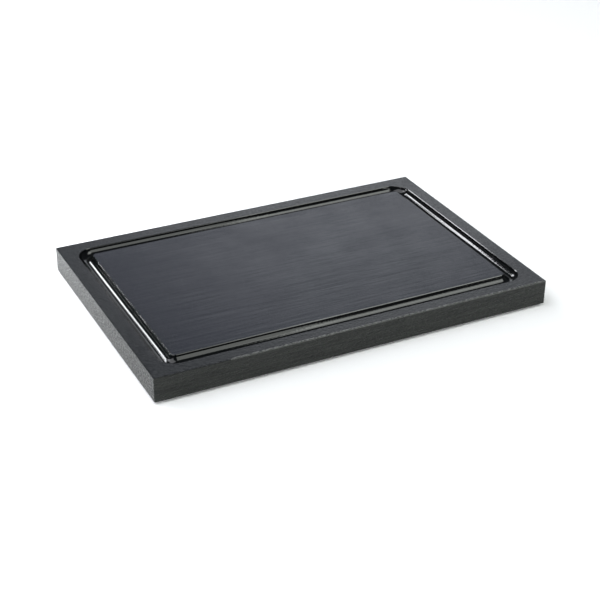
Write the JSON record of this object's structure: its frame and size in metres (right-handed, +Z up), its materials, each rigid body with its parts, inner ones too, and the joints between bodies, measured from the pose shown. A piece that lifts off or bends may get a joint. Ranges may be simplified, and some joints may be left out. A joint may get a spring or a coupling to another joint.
{
  "type": "bar board",
  "caption": "Rectangular black plastic bar board with a juice groove round its top face, standing on screwed rubber feet sunk into the underside.",
  "frame": {"origin": "centre of the footprint, on the surface that the feet stand on", "axes": "+X along the long side to the right, +Y from the front to the back, +Z up out of the top face"},
  "size_m": [0.3, 0.2, 0.02],
  "materials": {
    "board_plastic": "black sheet plastic: semi-gloss top face and smooth groove, matt sawn sides",
    "foot_rubber": "dark grey moulded rubber, matt",
    "washer_steel": "stamped stainless steel, satin",
    "screw_steel": "cold-formed stainless steel, satin"
  },
  "bodies": {
    "root": {"board": "board_plastic", "foot_front_left": "foot_rubber", "foot_front_right": "foot_rubber", "foot_back_left": "foot_rubber", "foot_back_right": "foot_rubber", "washer_front_left": "washer_steel", "washer_front_right": "washer_steel", "washer_back_left": "washer_steel", "washer_back_right": "washer_steel", "screw_front_left": "screw_steel", "screw_front_right": "screw_steel", "screw_back_left": "screw_steel", "screw_back_right": "screw_steel"}
  },
  "joints": []
}
